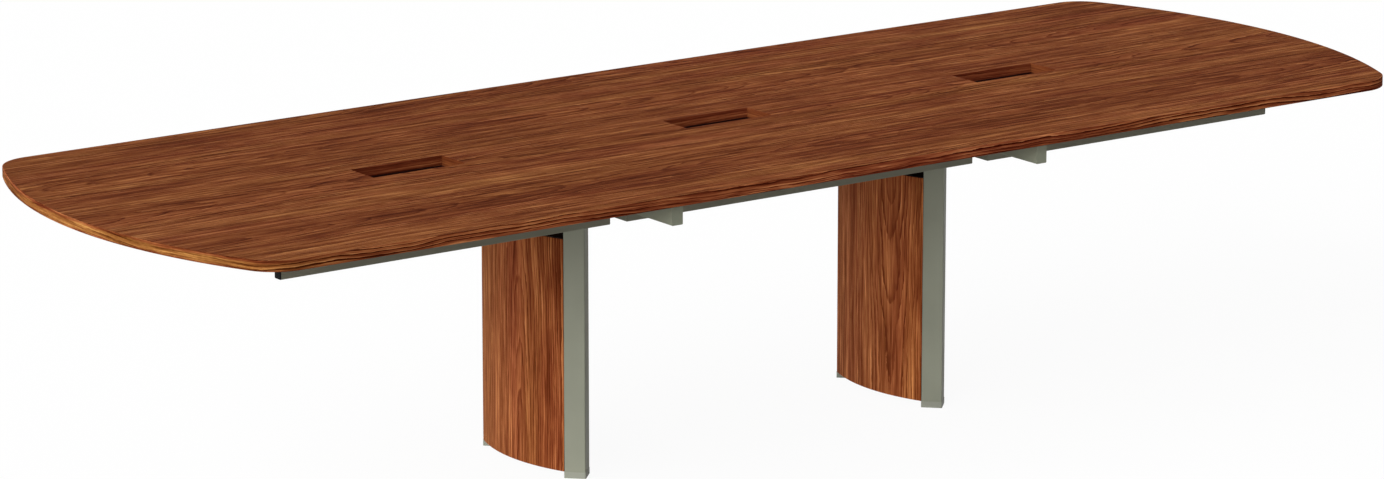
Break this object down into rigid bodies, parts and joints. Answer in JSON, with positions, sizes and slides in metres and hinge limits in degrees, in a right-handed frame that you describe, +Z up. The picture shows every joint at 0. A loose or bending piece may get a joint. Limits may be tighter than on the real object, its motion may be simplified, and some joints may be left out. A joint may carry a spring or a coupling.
{
  "type": "conference table",
  "caption": "Long meeting table with a bow-ended wood top and cable cut-outs, carried by a sectioned steel underframe and pedestals of square posts between curved wood panels.",
  "frame": {"origin": "on the floor, at the centre of the table's outline", "axes": "+X along the table's length, +Y across it towards the rear, +Z up"},
  "size_m": [3.5, 1.2, 0.755],
  "materials": {
    "top_veneer": "satin lacquered reddish-brown wood, straight grain along the table",
    "edge_banding": "satin wood edging, wavy grain running along the edge",
    "panel_veneer": "satin lacquered reddish-brown wood, upright grain",
    "post_paint": "satin grey powder coat",
    "cap_paint": "moulded plastic in the post's grey",
    "frame_paint": "satin dark grey powder coat",
    "zinc_plate": "bright zinc plated steel",
    "glide_plastic": "black moulded plastic"
  },
  "bodies": {
    "table": {"arm_plate_left_front": "frame_paint", "arm_plate_left_rear": "frame_paint", "arm_plate_right_front": "frame_paint", "arm_plate_right_rear": "frame_paint", "beam_left_front": "frame_paint", "beam_left_rear": "frame_paint", "beam_middle_front": "frame_paint", "beam_middle_rear": "frame_paint", "beam_right_front": "frame_paint", "beam_right_rear": "frame_paint", "bolt_left_inner_front": "zinc_plate", "bolt_left_inner_rear": "zinc_plate", "bolt_left_outer_front": "zinc_plate", "bolt_left_outer_rear": "zinc_plate", "bolt_right_inner_front": "zinc_plate", "bolt_right_inner_rear": "zinc_plate", "bolt_right_outer_front": "zinc_plate", "bolt_right_outer_rear": "zinc_plate", "cross_arm_left": "frame_paint", "cross_arm_right": "frame_paint", "cross_tube_left": "frame_paint", "cross_tube_right": "frame_paint", "cutout_band_left": "edge_banding", "cutout_band_middle": "edge_banding", "cutout_band_right": "edge_banding", "edge_band": "edge_banding", "foot_cap_left_front": "cap_paint", "foot_cap_left_rear": "cap_paint", "foot_cap_right_front": "cap_paint", "foot_cap_right_rear": "cap_paint", "head_plate_left": "frame_paint", "head_plate_right": "frame_paint", "joint_bar_left_inner": "frame_paint", "joint_bar_left_outer": "frame_paint", "joint_bar_right_inner": "frame_paint", "joint_bar_right_outer": "frame_paint", "panel_left_left": "panel_veneer", "panel_left_right": "panel_veneer", "panel_right_left": "panel_veneer", "panel_right_right": "panel_veneer", "post_left_front": "post_paint", "post_left_rear": "post_paint", "post_right_front": "post_paint", "post_right_rear": "post_paint", "riser_left": "frame_paint", "riser_right": "frame_paint", "spreader_left_lower": "frame_paint", "spreader_left_upper": "frame_paint", "spreader_right_lower": "frame_paint", "spreader_right_upper": "frame_paint", "stretcher_left_lower": "frame_paint", "stretcher_left_upper": "frame_paint", "stretcher_right_lower": "frame_paint", "stretcher_right_upper": "frame_paint", "table_top": "top_veneer"},
    "glide_left_front": {"glide_left_front": "glide_plastic"},
    "glide_left_rear": {"glide_left_rear": "glide_plastic"},
    "glide_right_front": {"glide_right_front": "glide_plastic"},
    "glide_right_rear": {"glide_right_rear": "glide_plastic"}
  },
  "joints": [
    {"name": "level_left_front", "type": "slide", "parent": "table", "child": "glide_left_front", "axis": [0, 0, -1], "range_m": [0, 0.012]},
    {"name": "level_left_rear", "type": "slide", "parent": "table", "child": "glide_left_rear", "axis": [0, 0, -1], "range_m": [0, 0.012]},
    {"name": "level_right_front", "type": "slide", "parent": "table", "child": "glide_right_front", "axis": [0, 0, -1], "range_m": [0, 0.012]},
    {"name": "level_right_rear", "type": "slide", "parent": "table", "child": "glide_right_rear", "axis": [0, 0, -1], "range_m": [0, 0.012]}
  ]
}
